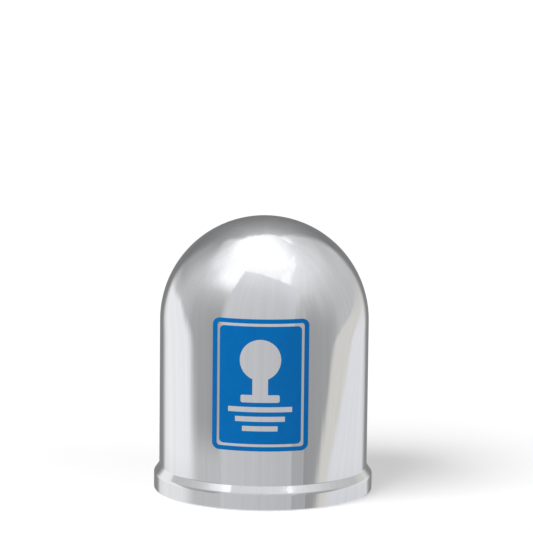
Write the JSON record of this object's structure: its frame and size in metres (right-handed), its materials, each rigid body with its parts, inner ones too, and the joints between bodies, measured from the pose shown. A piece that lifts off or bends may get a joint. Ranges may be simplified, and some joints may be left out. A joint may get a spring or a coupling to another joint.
{
  "type": "tow ball cover",
  "caption": "Domed chrome-plated cap with a flared rim that pushes over a tow ball; ribs inside snap round the ball, and a blue panel is printed on the front.",
  "frame": {"origin": "centre of the mouth, in the plane of the rim's foot", "axes": "+Z along the cover's axis towards the top of the dome, printed panel facing -Y"},
  "size_m": [0.0624, 0.0624, 0.0785],
  "materials": {
    "chrome_plating": "bright chrome plating on moulded plastic, mirror polished outside",
    "blue_print": "smooth blue print, semi-gloss"
  },
  "bodies": {
    "root": {"cover": "chrome_plating", "emblem": "blue_print"}
  },
  "joints": []
}
